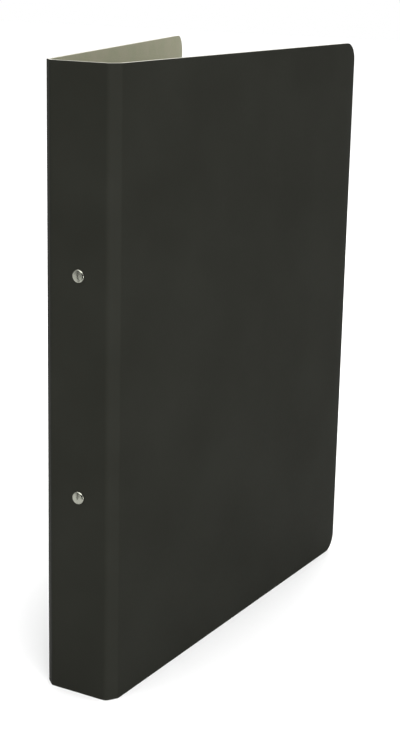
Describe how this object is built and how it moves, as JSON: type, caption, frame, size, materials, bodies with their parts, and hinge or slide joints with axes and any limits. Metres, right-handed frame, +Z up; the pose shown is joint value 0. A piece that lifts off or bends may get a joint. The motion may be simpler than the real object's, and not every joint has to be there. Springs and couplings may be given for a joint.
{
  "type": "ring binder",
  "caption": "Upright A4 ring binder of black laminated board with hinged covers, a riveted spine mechanism and opening round rings.",
  "frame": {"origin": "foot of the spine, in the middle of its thickness and width, on the surface the binder stands on", "axes": "+Z up along the spine, +X from the spine towards the fore-edges, +Y across the spine from the front cover to the rear cover"},
  "size_m": [0.2573, 0.114, 0.317],
  "materials": {
    "black_covering": "matte",
    "grey_board": "matte",
    "grey_lining": "matte",
    "nickel_plate": "satin",
    "nickel_wire": "polished",
    "nickel_rivet": "polished"
  },
  "bodies": {
    "spine": {"spine_covering": "black_covering", "spine_board": "grey_board", "spine_lining": "grey_lining", "ring_housing": "nickel_plate", "upper_post": "nickel_plate", "lower_post": "nickel_plate", "upper_rivet": "nickel_rivet", "lower_rivet": "nickel_rivet"},
    "front_hinge": {"front_hinge_covering": "black_covering", "front_hinge_board": "grey_board", "front_hinge_lining": "grey_lining"},
    "front_cover": {"front_cover_covering": "black_covering", "front_cover_board": "grey_board", "front_cover_lining": "grey_lining"},
    "rear_hinge": {"rear_hinge_covering": "black_covering", "rear_hinge_board": "grey_board", "rear_hinge_lining": "grey_lining"},
    "rear_cover": {"rear_cover_covering": "black_covering", "rear_cover_board": "grey_board", "rear_cover_lining": "grey_lining"},
    "front_blade": {"front_blade": "nickel_plate", "front_upper_ring": "nickel_wire", "front_lower_ring": "nickel_wire"},
    "rear_blade": {"rear_blade": "nickel_plate", "rear_upper_ring": "nickel_wire", "rear_lower_ring": "nickel_wire"}
  },
  "joints": [
    {"name": "front_spine_crease", "type": "hinge", "parent": "spine", "child": "front_hinge", "pos_m": [-0.001, -0.0165, 0.1585], "axis": [0, 0, -1], "range_deg": [0, 111]},
    {"name": "front_cover_crease", "type": "hinge", "parent": "front_hinge", "child": "front_cover", "pos_m": [0.00477, -0.02046, 0.1585], "axis": [0, 0, -1], "range_deg": [0, 69.01]},
    {"name": "rear_spine_crease", "type": "hinge", "parent": "spine", "child": "rear_hinge", "pos_m": [-0.001, 0.0165, 0.1585], "axis": [0, 0, 1], "range_deg": [-9.64, 94.24]},
    {"name": "rear_cover_crease", "type": "hinge", "parent": "rear_hinge", "child": "rear_cover", "pos_m": [0.00371, 0.02168, 0.1585], "axis": [0, 0, 1], "range_deg": [-7.07, 69.07]},
    {"name": "front_blade_pivot", "type": "hinge", "parent": "spine", "child": "front_blade", "pos_m": [0.0026, -0.009, 0.161], "axis": [0, 0, -1], "range_deg": [0, 12.5]},
    {"name": "rear_blade_pivot", "type": "hinge", "parent": "spine", "child": "rear_blade", "pos_m": [0.0026, 0.009, 0.161], "axis": [0, 0, 1], "range_deg": [0, 12.5]}
  ],
  "couplings": [
    {"joint": "front_cover_crease", "follows": "front_spine_crease", "ratio": 0.62162},
    {"joint": "rear_cover_crease", "follows": "rear_spine_crease", "ratio": 0.73286},
    {"joint": "rear_blade_pivot", "follows": "front_blade_pivot", "ratio": 1}
  ]
}
